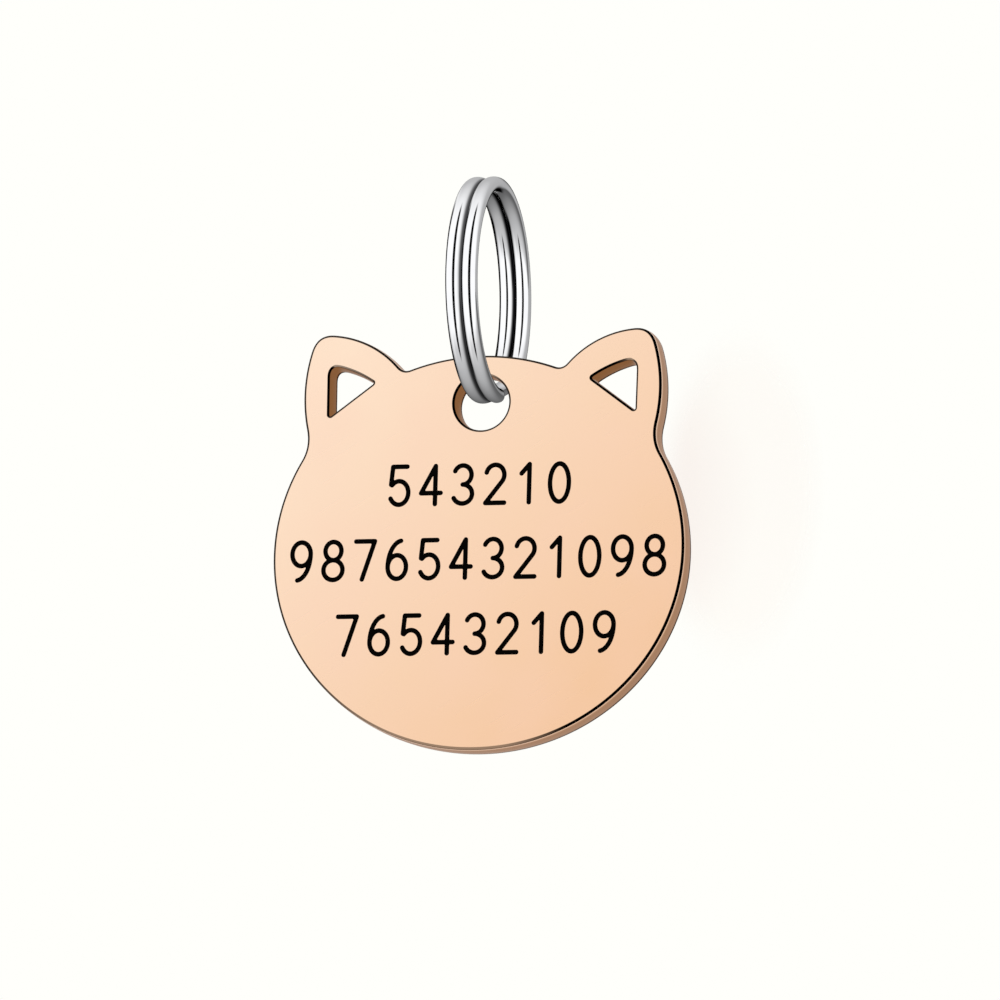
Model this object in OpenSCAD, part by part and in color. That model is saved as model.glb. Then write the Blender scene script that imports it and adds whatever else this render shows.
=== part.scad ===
// Pet identity tag: a flat metal plate in the outline of a cat's head, hanging from a
// split ring that is one flat wire wound into two turns.
//
// The origin is the centre of the split ring, whose axis is X. The plate hangs below it
// with its front towards low Y and its width along X. Z points up.

/* [Head] */
// Width of the head
head_w = 28; // [25:0.5:34]
// Height of the head without its ears
head_h = 26.4; // [24:0.2:32]
// Thickness of the plate
plate_t = 2.2; // [1:0.1:3]
// Diameter of the hanging hole
hole_d = 3.6; // [3.5:0.1:5]
// Metal between the hanging hole and the top of the head
web_h = 1.4; // [0.8:0.1:2]

/* [Ears] */
// Height of an ear's outer root over the middle of the head
ear_root_h = 7.3; // [6:0.1:9]
// Distance of an ear's inner root from the middle of the head
ear_root_x = 5.4; // [4.5:0.1:7]
// Distance of an ear's corner from the middle of the head, before rounding
ear_tip_x = 11.4; // [10:0.1:12.5]
// Height of an ear's corner over the middle of the head, before rounding
ear_tip_h = 14.8; // [13.5:0.1:17]
// How far an ear's outer side bows out
ear_side_bow = 0.69; // [0.2:0.01:1.2]
// How far an ear's inner side bows up
ear_brow_bow = 0.84; // [0.2:0.01:1.2]
// Length of each side that the rounding of an ear's corner takes
ear_tip_trim = 1.24; // [0.3:0.01:1.8]
// Length of each side that the rounding of an ear's outer root takes
ear_root_trim = 1.14; // [0.2:0.01:1.6]
// Length of each side that the rounding of an ear's inner root takes
ear_brow_trim = 0.48; // [0.2:0.01:1]
// How far the upper side of the cut-out in an ear bows up
window_bow = 0.17; // [0.05:0.01:0.5]
// Length of each side that the rounding of the cut-out's upper outer corner takes
window_top_trim = 0.76; // [0.1:0.01:1]
// Length of each side that the rounding of the cut-out's other two corners takes
window_trim = 0.1; // [0.05:0.01:0.4]

/* [Split ring] */
// Outer diameter of the ring
ring_d = 15; // [14:0.5:24]
// Width of the two turns together, along the ring's axis
ring_w = 2.15; // [1.6:0.05:2.3]
// Thickness of the wire, across the ring's radius
wire_t = 1; // [0.6:0.05:1.2]
// Bevel along the wire's edges
wire_bevel = 0.22; // [0.05:0.01:0.25]
// Slit between the two turns
turn_gap = 0.42; // [0.41:0.01:0.6]
// Clearance between the hanging hole and the ring where the plate hangs on it
seat_gap = 0.1; // [0.05:0.05:0.4]

/* [Hidden] */

// A cutter runs past each face of the plate by this much
overrun = 0.5;
// Points along the full oval, along a bowed side, round a corner, and round the hole
oval_steps = 120;
side_steps = 10;
corner_steps = 6;
round_facets = 96;

// Corners of an ear's cut-out, as shares of the ear's corner, outer root and inner root
window_top_shares = [0.603, 0.222, 0.175];
window_low_shares = [0.139, 0.66, 0.201];
window_in_shares = [0.125, 0.21, 0.665];

// Steps in a full round of the wire. They start at the ring's lowest point and run up its
// back, and these are the ones where the second turn ends, the wire begins to cross from
// the first turn to the second, it has crossed, and the first turn begins
round_steps = 48;
last_end = 1;
jog_start = 2;
jog_end = 6;
first_end = 7;
// Steps across the jog
jog_steps = 12;

hole_r = hole_d / 2;
wire_w = (ring_w - turn_gap) / 2;
turn_pitch = wire_w + turn_gap;
ring_inner_r = ring_d / 2 - wire_t;

// The plate hangs where its hole's rim comes down to the ring's inside at both edges
seat_drop = sqrt(pow(ring_inner_r, 2) - pow(plate_t / 2, 2));
rim_rise = sqrt(pow(hole_r, 2) - pow(ring_w / 2, 2));
hole_z = seat_gap - seat_drop - rim_rise;
head_z = hole_z + hole_r + web_h - head_h / 2;

// Point of the head's oval at an angle from its top, clockwise as seen from the front
function oval_point(angle) = [head_w / 2 * sin(angle), head_h / 2 * cos(angle)];

// Points of the oval between two angles, both included
function oval(from, to) =
    let (count = ceil(abs(to - from) * oval_steps / 360))
    [for (i = [0 : count]) oval_point(from + (to - from) * i / count)];

// Angle that a length takes on the oval, with the oval's half width as the radius
function oval_turn(along) = 360 * along / (PI * head_w);

// Arc from p to q that bows out to its left, less a length trimmed off at each end
function bowed(p, q, bow, trim_p, trim_q) =
    let (
        chord = norm(q - p),
        along = (q - p) / chord,
        out = [-along[1], along[0]],
        radius = pow(chord, 2) / (8 * bow) + bow / 2,
        centre = (p + q) / 2 - out * (radius - bow),
        half = asin(chord / (2 * radius)),
        from = 180 * trim_p / (PI * radius) - half,
        to = half - 180 * trim_q / (PI * radius)
    )
    [for (i = [0 : side_steps])
        let (angle = from + (to - from) * i / side_steps)
        centre + radius * (cos(angle) * out + sin(angle) * along)];

// Straight side from p to q, less a length trimmed off at each end
function straight(p, q, trim_p, trim_q) =
    let (along = (q - p) / norm(q - p))
    [p + along * trim_p, q - along * trim_q];

// Where the line through p along u meets the line through q along v
function meeting(p, u, q, v) = p + u * cross(q - p, v) / cross(u, v);

// Points between the end of side a and the start of side b, on the curve that leaves and
// reaches both sides along their own directions
function corner(a, b) =
    let (
        last = len(a) - 1,
        p = a[last],
        q = b[0],
        peak = meeting(p, p - a[last - 1], q, b[1] - q)
    )
    [for (i = [1 : corner_steps - 1])
        let (s = i / corner_steps)
        pow(1 - s, 2) * p + 2 * s * (1 - s) * peak + pow(s, 2) * q];

// Mirror image of a row of points across the head's middle line, in the same order
function mirrored(points) = [for (p = points) [-p[0], p[1]]];

// The same row of points the other way round
function reversed(points) = [for (i = [len(points) - 1 : -1 : 0]) points[i]];

ear_root_angle = acos(2 * ear_root_h / head_h);
brow_root_angle = asin(2 * ear_root_x / head_w);
ear_root = oval_point(ear_root_angle);
brow_root = oval_point(brow_root_angle);
ear_tip = [ear_tip_x, ear_tip_h];

// Right half of the head's outline, from the chin up to the crown
cheek = oval(180, ear_root_angle + oval_turn(ear_root_trim));
ear_side = reversed(bowed(ear_tip, ear_root, ear_side_bow, ear_tip_trim, ear_root_trim));
ear_brow = reversed(bowed(brow_root, ear_tip, ear_brow_bow, ear_brow_trim, ear_tip_trim));
crown = oval(brow_root_angle - oval_turn(ear_brow_trim), 0);
half_outline = concat(
    cheek, corner(cheek, ear_side),
    ear_side, corner(ear_side, ear_brow),
    ear_brow, corner(ear_brow, crown),
    crown
);
left_half = reversed(mirrored(half_outline));
head_outline = concat(half_outline, [for (i = [1 : len(left_half) - 2]) left_half[i]]);

// Place in the ear that shares of its three corners give
function in_ear(shares) = shares[0] * ear_tip + shares[1] * ear_root + shares[2] * brow_root;

window_top = in_ear(window_top_shares);
window_low = in_ear(window_low_shares);
window_in = in_ear(window_in_shares);
window_brow = bowed(window_in, window_top, window_bow, window_trim, window_top_trim);
window_side = straight(window_top, window_low, window_top_trim, window_trim);
window_base = straight(window_low, window_in, window_trim, window_trim);
window_outline = concat(
    window_brow, corner(window_brow, window_side),
    window_side, corner(window_side, window_base),
    window_base, corner(window_base, window_brow)
);

// The wire's cross-section, with the first number across the radius from the ring's axis
// and the second along it, measured from the middle of the turn
wire_section =
    let (
        low = ring_inner_r,
        high = ring_d / 2,
        side = wire_w / 2,
        edge = side - wire_bevel
    )
    [
        [low, -edge], [low + wire_bevel, -side], [high - wire_bevel, -side], [high, -edge],
        [high, edge], [high - wire_bevel, side], [low + wire_bevel, side], [low, edge]
    ];

// Places along the wire from one cut end to the other: the step round the ring, and how
// far along its axis
function turn_places(from, to, along) = [for (step = [from : to]) [step, along]];
jog_places = [for (i = [1 : jog_steps - 1])
    let (share = i / jog_steps)
    [jog_start + (jog_end - jog_start) * share, -cos(180 * share) * turn_pitch / 2]];
wire_places = concat(
    turn_places(first_end - round_steps, jog_start, -turn_pitch / 2),
    jog_places,
    turn_places(jog_end, last_end + round_steps, turn_pitch / 2)
);

// The wire's cross-section at each of those places
wire_rings = [for (place = wire_places)
    let (angle = 360 * place[0] / round_steps)
    [for (p = wire_section) [p[0] * cos(angle), p[0] * sin(angle), p[1] + place[1]]]];

// Least distance between the wire's points and those half a round or more further on
least_gap = min([
    for (i = [0 : len(wire_places) - 1])
        for (j = [i + 1 : len(wire_places) - 1])
            if (wire_places[j][0] - wire_places[i][0] >= round_steps / 2)
                for (p = wire_rings[i])
                    for (q = wire_rings[j])
                        norm(p - q)
]);
echo(str("least gap between the ring's turns: ", least_gap, " mm"));

// Tube of triangles through rings of points, with a flat end at each
module tube(rings) {
    sides = len(rings[0]);
    last = len(rings) - 1;
    polyhedron(
        points = [for (ring = rings) for (p = ring) p],
        faces = concat(
            [for (k = [1 : sides - 2]) [0, k + 1, k]],
            [for (i = [0 : last - 1])
                for (k = [0 : sides - 1])
                    let (a = i * sides + k, b = i * sides + (k + 1) % sides)
                    each [[a, b, a + sides], [b, b + sides, a + sides]]],
            [for (k = [1 : sides - 2]) [last * sides, last * sides + k, last * sides + k + 1]]
        )
    );
}

// Solid of an outline drawn in the plate's plane, centred on the plate's thickness
module slab(thickness) {
    translate([0, thickness / 2, 0])
        rotate([90, 0, 0])
            linear_extrude(height = thickness)
                children();
}

module tag_plate() {
    color("#f3cfb1")
    difference() {
        translate([0, 0, head_z])
            slab(plate_t)
                polygon(head_outline);
        translate([0, 0, head_z])
            slab(plate_t + 2 * overrun) {
                polygon(window_outline);
                polygon(mirrored(window_outline));
            }
        translate([0, 0, hole_z])
            slab(plate_t + 2 * overrun)
                circle(r = hole_r, $fn = round_facets);
    }
}

module split_ring() {
    color("#c9cbce")
    rotate([0, 90, 0])
        tube(wire_rings);
}

tag_plate();
split_ring();
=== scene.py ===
# %% [markdown]
# # A cat-head pet tag on its split ring
#
# The real object is a flat steel tag for a pet's collar. It is cut in the outline of a cat's
# head with pierced ears, coated rose gold, polished, and marked in black. A ring of steel wire,
# wound into two turns, runs through its hanging hole.
#
# The CAD model already fixes where everything is. This lesson makes the surfaces that a camera
# can come close to: edges rounded as polishing leaves them, marks sunk into the face, and wire
# that is round. Most of the work is then in the light, because polished metal has hardly any
# look of its own and shows whatever stands round it.

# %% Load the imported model
import bpy
import numpy as np
from mathutils import Matrix
from mathutils.geometry import delaunay_2d_cdt


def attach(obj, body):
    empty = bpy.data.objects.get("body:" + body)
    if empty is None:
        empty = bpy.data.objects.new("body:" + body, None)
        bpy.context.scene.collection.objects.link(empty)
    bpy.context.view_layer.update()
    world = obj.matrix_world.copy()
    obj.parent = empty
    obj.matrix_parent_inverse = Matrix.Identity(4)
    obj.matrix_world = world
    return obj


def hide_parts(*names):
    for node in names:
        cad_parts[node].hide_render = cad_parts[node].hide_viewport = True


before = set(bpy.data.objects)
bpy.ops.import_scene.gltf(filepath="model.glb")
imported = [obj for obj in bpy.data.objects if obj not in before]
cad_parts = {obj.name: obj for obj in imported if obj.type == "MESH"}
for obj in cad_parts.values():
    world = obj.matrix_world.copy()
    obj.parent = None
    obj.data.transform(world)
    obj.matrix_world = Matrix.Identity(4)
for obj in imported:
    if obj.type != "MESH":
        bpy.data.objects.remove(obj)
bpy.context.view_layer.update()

# %% [markdown]
# ## Sizes
#
# The frame gives metres, and small things are easier to think of in millimetres, so every shape
# below is worked out in millimetres and scaled once, when it becomes a mesh. The origin is the
# centre of the split ring. X runs across the head and along the ring's axis, Y from the front
# of the plate to its back, and Z up.
#
# The numbers are the ones that the CAD source is built from. A new piece that repeats them lies
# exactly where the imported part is, so nothing has to be fitted by eye.

# %% Write down the sizes
MM = 0.001

HEAD_W, HEAD_H, PLATE_T = 28.0, 26.4, 2.2
HOLE_R, WEB_H = 1.8, 1.4
EAR_ROOT_H, EAR_ROOT_X = 7.3, 5.4
EAR_TIP = np.array([11.4, 14.8])
EAR_SIDE_BOW, EAR_BROW_BOW = 0.69, 0.84
EAR_TIP_TRIM, EAR_ROOT_TRIM, EAR_BROW_TRIM = 1.24, 1.14, 0.48
WINDOW_BOW, WINDOW_TOP_TRIM, WINDOW_TRIM = 0.17, 0.76, 0.1
WINDOW_SHARES = np.array([[0.603, 0.222, 0.175], [0.139, 0.66, 0.201], [0.125, 0.21, 0.665]])

RING_D, RING_W, WIRE_T, SEAT_GAP = 15.0, 2.15, 1.0, 0.1
RING_INNER_R = RING_D / 2 - WIRE_T

# The plate hangs where the rim of its hole comes down to the inside of the ring
seat_drop = np.sqrt(RING_INNER_R ** 2 - (PLATE_T / 2) ** 2)
rim_rise = np.sqrt(HOLE_R ** 2 - (RING_W / 2) ** 2)
hole_z = SEAT_GAP - seat_drop - rim_rise
head_z = hole_z + HOLE_R + WEB_H - HEAD_H / 2
head_middle = np.array([0, 0, head_z])
print(f"middle of the hole at z = {hole_z:.3f} mm, middle of the head at z = {head_z:.3f} mm")

# %% [markdown]
# ## The outline of the head
#
# The outline is an oval with two ears. Each ear has two sides that bow out a little, and where
# two sides meet, the corner is rounded. Sides and corners are rows of points, so the outline is
# those rows laid end to end.
#
# It could be drawn by hand as a Bezier curve. Worked out from formulas it stays the same shape
# as the CAD model's outline, only with more points, so that no facet shows at the edge.


# %% Arcs, sides and corners
def oval(start, end, count):
    """Points of the head's oval. Each is half the width times the sine, and half the height
    times the cosine, of an angle in degrees from the top."""
    angle = np.radians(np.linspace(start, end, count))
    return np.c_[HEAD_W / 2 * np.sin(angle), HEAD_H / 2 * np.cos(angle)]


def bowed(p, q, bow, trim_p, trim_q, count=30):
    """Arc from p to q that bows out to its left. Its radius is the chord squared over eight
    bows plus half a bow, and each end is cut back by a length along the arc."""
    chord = np.linalg.norm(q - p)
    along = (q - p) / chord
    out = np.array([-along[1], along[0]])
    radius = chord ** 2 / (8 * bow) + bow / 2
    centre = (p + q) / 2 - out * (radius - bow)
    half = np.arcsin(chord / (2 * radius))
    angle = np.linspace(trim_p / radius - half, half - trim_q / radius, count)[:, None]
    return centre + radius * (np.cos(angle) * out + np.sin(angle) * along)


def straight(p, q, trim_p, trim_q, count=30):
    """Points from p to q at equal steps, less a length cut off at each end."""
    along = (q - p) / np.linalg.norm(q - p)
    return np.linspace(p + trim_p * along, q - trim_q * along, count)


def cross(u, v):
    """How far v lies to the left of u, times both lengths."""
    return u[0] * v[1] - u[1] * v[0]


def corner(a, b, count=16):
    """Rounding between the end of side a and the start of side b: the quadratic curve whose
    middle control point is where the two sides would meet."""
    p, q, u, v = a[-1], b[0], a[-1] - a[-2], b[1] - b[0]
    peak = p + u * cross(q - p, v) / cross(u, v)
    s = np.linspace(0, 1, count + 1)[1:-1, None]
    return (1 - s) ** 2 * p + 2 * s * (1 - s) * peak + s ** 2 * q


def closed(sides):
    """All sides in turn, with a rounded corner after each."""
    rows = [(side, corner(side, after)) for side, after in zip(sides, sides[1:] + sides[:1])]
    return np.concatenate([points for row in rows for points in row])


# %% The head, its windows and its hole
MIRROR = np.array([-1, 1])

root_angle = np.degrees(np.arccos(2 * EAR_ROOT_H / HEAD_H))
brow_angle = np.degrees(np.arcsin(2 * EAR_ROOT_X / HEAD_W))
root_turn = np.degrees(2 * EAR_ROOT_TRIM / HEAD_W)
brow_turn = np.degrees(2 * EAR_BROW_TRIM / HEAD_W)
ear_root = oval(root_angle, root_angle, 1)[0]
brow_root = oval(brow_angle, brow_angle, 1)[0]

side = bowed(EAR_TIP, ear_root, EAR_SIDE_BOW, EAR_TIP_TRIM, EAR_ROOT_TRIM)[::-1]
brow = bowed(brow_root, EAR_TIP, EAR_BROW_BOW, EAR_BROW_TRIM, EAR_TIP_TRIM)[::-1]
crown = oval(brow_angle - brow_turn, brow_turn - brow_angle, 60)
cheeks = oval(root_angle + root_turn - 360, -root_angle - root_turn, 240)[::-1]

# From the right ear over the crown to the left ear, then round the chin: anticlockwise
head = closed([side, brow, crown, brow[::-1] * MIRROR, side[::-1] * MIRROR, cheeks])

top, low, inner = WINDOW_SHARES @ np.stack([EAR_TIP, ear_root, brow_root])
window = closed([
    bowed(inner, top, WINDOW_BOW, WINDOW_TRIM, WINDOW_TOP_TRIM),
    straight(top, low, WINDOW_TOP_TRIM, WINDOW_TRIM),
    straight(low, inner, WINDOW_TRIM, WINDOW_TRIM),
])

turn = np.linspace(0, -2 * np.pi, 128, endpoint=False)
hole = np.array([0, hole_z - head_z]) + HOLE_R * np.c_[np.cos(turn), np.sin(turn)]

# The metal lies to the left of every loop, so the ones round openings run clockwise
loops = [loop + [0, head_z] for loop in (head, window, window[::-1] * MIRROR, hole)]
print("points in the loops", [len(loop) for loop in loops])
print("outline spans", np.round(np.ptp(loops[0], axis=0), 2), "mm")

# %% [markdown]
# ## The rounded edges
#
# Tumbling and polishing take the sharpness off every edge of the stamped plate. The rounding is
# only a fifth of a millimetre, but it turns through a quarter circle, so it mirrors a whole side
# of the studio in a thin line. Those lines are what makes a flat tag read as metal.
#
# The wall between them isn't quite flat either: it is crowned, by a few hundredths of a
# millimetre, so what it mirrors changes from its front edge to its back edge.
#
# A Bevel modifier could make the roundings, though it stumbles where an edge is as tightly curved
# as in the corners of the windows. Here one cross-section is carried round each loop instead: a
# tight arc at the front, a very wide one along the wall, and a tight one at the back.

# %% Carry the edge's cross-section round each loop
EDGE_R = 0.2
EDGE_STEPS = 10
CROWN_TURN = np.radians(7)
CROWN_STEPS = 8

# The angle of the metal's outward direction, from facing forward, over outward, to back
bend_front = np.linspace(0, np.pi / 2 - CROWN_TURN, EDGE_STEPS + 1)
bend_wall = np.linspace(-CROWN_TURN, CROWN_TURN, CROWN_STEPS + 1)[1:-1]
half_wall = PLATE_T / 2 - EDGE_R * (1 - np.sin(CROWN_TURN))
crown_r = half_wall / np.sin(CROWN_TURN)
front_in = crown_r * (1 - np.cos(CROWN_TURN)) + EDGE_R * (np.cos(CROWN_TURN) - np.sin(bend_front))
front_y = EDGE_R * (1 - np.cos(bend_front)) - PLATE_T / 2
edge_in = np.concatenate([front_in, crown_r * (1 - np.cos(bend_wall)), front_in[::-1]])
edge_back = np.concatenate([front_y, crown_r * np.sin(bend_wall), -front_y[::-1]])
edge_out_n = np.concatenate([np.sin(bend_front), np.cos(bend_wall), np.sin(bend_front)[::-1]])
edge_back_n = np.concatenate([-np.cos(bend_front), np.sin(bend_wall), np.cos(bend_front)[::-1]])

# Spans of these columns: the wall's, and those of the front and back roundings
WALL = [(EDGE_STEPS, EDGE_STEPS + CROWN_STEPS + 1)]
ROUNDINGS = [(0, EDGE_STEPS + 1), (EDGE_STEPS + CROWN_STEPS, len(edge_in))]


def outward(loop):
    """Unit normals that point out of the metal: the direction from the point before to the
    point after, turned a quarter to the right."""
    step = np.roll(loop, -1, axis=0) - np.roll(loop, 1, axis=0)
    step /= np.linalg.norm(step, axis=1, keepdims=True)
    return np.c_[step[:, 1], -step[:, 0]]


def edge_band(loop):
    """Points and normals on a grid of loop points by cross-section points. A point is the
    loop's, moved into the metal along the loop's normal and back along Y."""
    normal = outward(loop)
    flat = loop[:, None] - edge_in[:, None] * normal[:, None]
    tilt = edge_out_n[:, None] * normal[:, None]
    return tuple(
        np.stack([xz[..., 0], np.tile(y, (len(loop), 1)), xz[..., 1]], axis=-1)
        for xz, y in ((flat, edge_back), (tilt, edge_back_n)))


bands = [edge_band(loop) for loop in loops]
print("points in the rounded edges", sum(points[..., 0].size for points, _ in bands))

# %% [markdown]
# ## The marks
#
# A laser cuts the marks into the face and leaves them black. They are three rows of plain running
# digits. Each digit is drawn by pen strokes of even width with round ends, as an engraving
# machine draws it.
#
# Text in Blender would bring in somebody's typeface and its sharp corners. A stroke is easier to
# describe as a distance: a point is inside the digit when it is closer to the pen's path than
# half the stroke. Sampled on a grid, that distance gives the digit's edge wherever it crosses
# the half stroke, and crossing strokes join without any extra work.

# %% Pen paths of the digits
DIGIT_W, DIGIT_H, STROKE, PITCH = 1.33, 2.54, 0.32, 2.18
# The digits of each row, by the height of its middle over the head's middle
ROWS = {4.51: "543210", -0.44: "987654321098", -5.45: "765432109"}


def bend(cx, cz, rx, rz, start, end, count=40):
    """Part of an ellipse: the middle plus the radii times the cosine and sine of an angle that
    runs from start to end, in degrees."""
    angle = np.radians(np.linspace(start, end, count))
    return np.c_[cx + rx * np.cos(angle), cz + rz * np.sin(angle)]


# A digit's box runs across from -0.5 to 0.5 and up from 0 to 1
six = [bend(0, 0.31, 0.47, 0.31, 0, 360), bend(0.26, 0.31, 0.73, 0.69, 180, 96)]
PEN_PATHS = {
    "0": [bend(0, 0.5, 0.48, 0.5, 0, 360)],
    "1": [np.vstack([(-0.3, 0.76), (0.1, 1), (0.1, 0)])],
    "2": [np.vstack([bend(0, 0.735, 0.46, 0.265, 165, -38), (-0.48, 0), (0.48, 0)])],
    "3": [bend(-0.02, 0.75, 0.44, 0.25, 155, -90), bend(-0.02, 0.25, 0.49, 0.25, 90, -155)],
    "4": [np.vstack([(0.22, 0), (0.22, 1), (-0.5, 0.29), (0.5, 0.29)])],
    "5": [np.vstack([(0.4, 1), (-0.33, 1), (-0.41, 0.53), bend(0, 0.31, 0.48, 0.31, 138, -152)])],
    "6": six,
    "7": [np.vstack([(-0.48, 1), (0.48, 1), (-0.14, 0)])],
    "8": [bend(0, 0.76, 0.41, 0.24, 0, 360), bend(0, 0.26, 0.49, 0.26, 0, 360)],
    "9": [np.array([0, 1]) - stroke for stroke in six],
}
print("pen strokes in each digit", {digit: len(paths) for digit, paths in PEN_PATHS.items()})


def pen_distance(points, digit):
    """Distance of each point from a digit's pen paths: to the nearest point of every short
    piece, found by dropping a perpendicular and keeping it between the piece's ends."""
    scale = np.array([DIGIT_W, DIGIT_H])
    starts = np.concatenate([stroke[:-1] for stroke in PEN_PATHS[digit]]) * scale
    pieces = np.concatenate([np.diff(stroke, axis=0) for stroke in PEN_PATHS[digit]]) * scale
    starts[:, 1] -= DIGIT_H / 2
    away = points[..., None, :] - starts
    share = (away * pieces).sum(-1) / np.maximum((pieces ** 2).sum(-1), 1e-12)
    nearest = away - np.clip(share, 0, 1)[..., None] * pieces
    return np.sqrt((nearest ** 2).sum(-1)).min(-1)


# %% Trace the edge of each digit
CELL = 0.05
# Cells past the digit's box. One count isn't whole, so no grid line runs along a straight edge
CELLS_BEFORE, CELLS_AFTER = 6.3, 7


def traced(digit):
    """Points and edges of a digit's outline, by marching squares. Each grid line whose ends lie
    on different sides of the outline gives one point, where the distance would equal half the
    stroke, and each cell joins the points on its sides."""
    xs, zs = (
        np.arange(-0.5 * size - CELLS_BEFORE * CELL, 0.5 * size + CELLS_AFTER * CELL, CELL)
        for size in (DIGIT_W, DIGIT_H))
    field = pen_distance(np.stack(np.meshgrid(xs, zs, indexing="ij"), axis=-1), digit) - STROKE / 2
    within = field < 0
    ix, iz = np.nonzero(within[:-1] != within[1:])
    jx, jz = np.nonzero(within[:, :-1] != within[:, 1:])
    share_x = field[ix, iz] / (field[ix, iz] - field[ix + 1, iz])
    share_z = field[jx, jz] / (field[jx, jz] - field[jx, jz + 1])
    points = np.concatenate([
        np.c_[xs[ix] + share_x * CELL, zs[iz]],
        np.c_[xs[jx], zs[jz] + share_z * CELL],
    ])
    number_x = np.full((len(xs) - 1, len(zs)), -1)
    number_z = np.full((len(xs), len(zs) - 1), -1)
    number_x[ix, iz] = np.arange(len(ix))
    number_z[jx, jz] = len(ix) + np.arange(len(jx))
    sides = [number_x[:, :-1], number_x[:, 1:], number_z[:-1], number_z[1:]]
    cells = np.stack(sides, axis=-1).reshape(-1, 4)
    hits = (cells >= 0).sum(axis=1)
    edges = np.concatenate([
        np.sort(cells[hits == 2], axis=1)[:, 2:],
        cells[hits == 4][:, [0, 2]],
        cells[hits == 4][:, [1, 3]],
    ])
    return points, edges


outlines = {digit: traced(digit) for digit in PEN_PATHS}
print("points in each digit", {digit: len(points) for digit, (points, _) in outlines.items()})

# %% Set the digits in their rows
mark_points, mark_edges, count = [], [], 0
for row_z, digits in ROWS.items():
    for place, digit in enumerate(digits):
        points, edges = outlines[digit]
        middle = np.array([(place - (len(digits) - 1) / 2) * PITCH, head_z + row_z])
        mark_points.append(points + middle)
        mark_edges.append(edges + count)
        count += len(points)
mark_points, mark_edges = np.concatenate(mark_points), np.concatenate(mark_edges)
print(sum(len(digits) for digits in ROWS.values()), "digits with", count, "points")

# %% [markdown]
# ## The plate
#
# What is left of the plate is its two flat faces, each with an outline, three openings and, at
# the front, the edges of 27 digits. Filling that by hand would take many cuts. A constrained
# triangulation does it at once: it joins all the points with triangles and keeps every given
# edge. Which triangles are metal then follows from the even-odd rule, since a ray that starts in
# the metal crosses the edges an odd number of times.
#
# The digits are sunk by a few hundredths of a millimetre, with walls and a floor of their own.
# The rounded edges are a piece of their own, because they are brighter than the rest. Under them
# the plate ends in flat chamfers, so each of the two pieces is a closed solid.


# %% Fill a flat face
# How many points are tested at once, and two settings of the triangulation
AT_ONCE = 400
ALL_TRIANGLES, NEARLY_SAME = 0, 1e-7


def inside(points, corners, edges):
    """Whether a ray from each point towards +X crosses an odd number of the edges between
    corners: those that reach from below the point to above it, or back, and pass it on its
    right."""
    starts, ends = corners[edges[:, 0]], corners[edges[:, 1]]
    rise = ends[:, 1] - starts[:, 1]
    slope = (ends[:, 0] - starts[:, 0]) / np.where(rise == 0, 1, rise)
    odd = []
    for part in np.array_split(points, len(points) // AT_ONCE + 1):
        x, z = part[:, :1], part[:, 1:]
        passes = (starts[:, 1] > z) != (ends[:, 1] > z)
        hits = passes & (x < starts[:, 0] + (z - starts[:, 1]) * slope)
        odd.append(hits.sum(axis=1) % 2 == 1)
    return np.concatenate(odd)


def filled(points, edges):
    """Triangles between points that keep the given edges, all anticlockwise, with the middle
    of each."""
    corners, _, faces, source, _, _ = delaunay_2d_cdt(
        points.tolist(), edges.tolist(), [], ALL_TRIANGLES, NEARLY_SAME)
    assert len(corners) == len(points), "two points lie in one place"
    faces = np.array([ids[0] for ids in source])[np.array(faces)]
    a, b, c = (points[faces[:, k]] for k in range(3))
    turn = cross((b - a).T, (c - a).T).sum()
    return faces if turn > 0 else faces[:, ::-1], (a + b + c) / 3


sizes = [len(loop) for loop in loops]
rim_count, mark_count = sum(sizes), len(mark_points)
runs = np.split(np.arange(rim_count), np.cumsum(sizes)[:-1])
rim_edges = np.concatenate([np.c_[run, np.roll(run, -1)] for run in runs])
front_rim, back_rim = (
    np.concatenate([points[:, column, ::2] for points, _ in bands]) for column in (0, -1))

front_points = np.concatenate([front_rim, mark_points])
front_edges = np.concatenate([rim_edges, mark_edges + rim_count])
front_faces, middles = filled(front_points, front_edges)
metal = inside(middles, front_points, front_edges)
marked = inside(middles, mark_points, mark_edges)
back_faces, middles = filled(back_rim, rim_edges)
back_metal = inside(middles, back_rim, rim_edges)
print("triangles: front", metal.sum(), "digits", marked.sum(), "back", back_metal.sum())

# A digit's inside belongs on the right of its edges. Its triangles have it on their left, so an
# edge that runs the same way as a triangle's side is turned round. One number stands for a pair
sides = np.concatenate([front_faces[marked][:, [k, (k + 1) % 3]] for k in range(3)]) - rim_count
code = np.array([len(front_points), 1])
same = np.isin(mark_edges @ code, sides @ code)
mark_edges[same] = mark_edges[same, ::-1]
print(same.sum(), "of", len(mark_edges), "edges of digits turned round")

# %% Put the plate together
GROOVE = 0.05


def at_depth(flat, depth):
    """Points of the front view at a depth behind the plate's front face."""
    return np.c_[flat[:, 0], np.full(len(flat), depth - PLATE_T / 2), flat[:, 1]]


def grid_faces(rows, columns, first=0, close_columns=False):
    """Four corners of each cell of a grid whose rows close on themselves."""
    index = first + np.arange(rows * columns).reshape(rows, columns)
    after = np.roll(index, -1, axis=0)
    if close_columns:
        index, after = np.c_[index, index[:, :1]], np.c_[after, after[:, :1]]
    cells = np.stack([index[:, :-1], index[:, 1:], after[:, 1:], after[:, :-1]], axis=-1)
    return cells.reshape(-1, 4)


def strips(spans):
    """Points, normals and faces of some spans of columns of every edge band. Each span gives a
    strip that closes round its loop."""
    points, normals, faces, count = [], [], [], 0
    for start, end in spans:
        for band, normal in bands:
            points.append(band[:, start:end].reshape(-1, 3))
            normals.append(normal[:, start:end].reshape(-1, 3))
            faces.append(grid_faces(len(band), end - start, count))
            count += len(points[-1])
    return np.concatenate(points), np.concatenate(normals), np.concatenate(faces)


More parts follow.
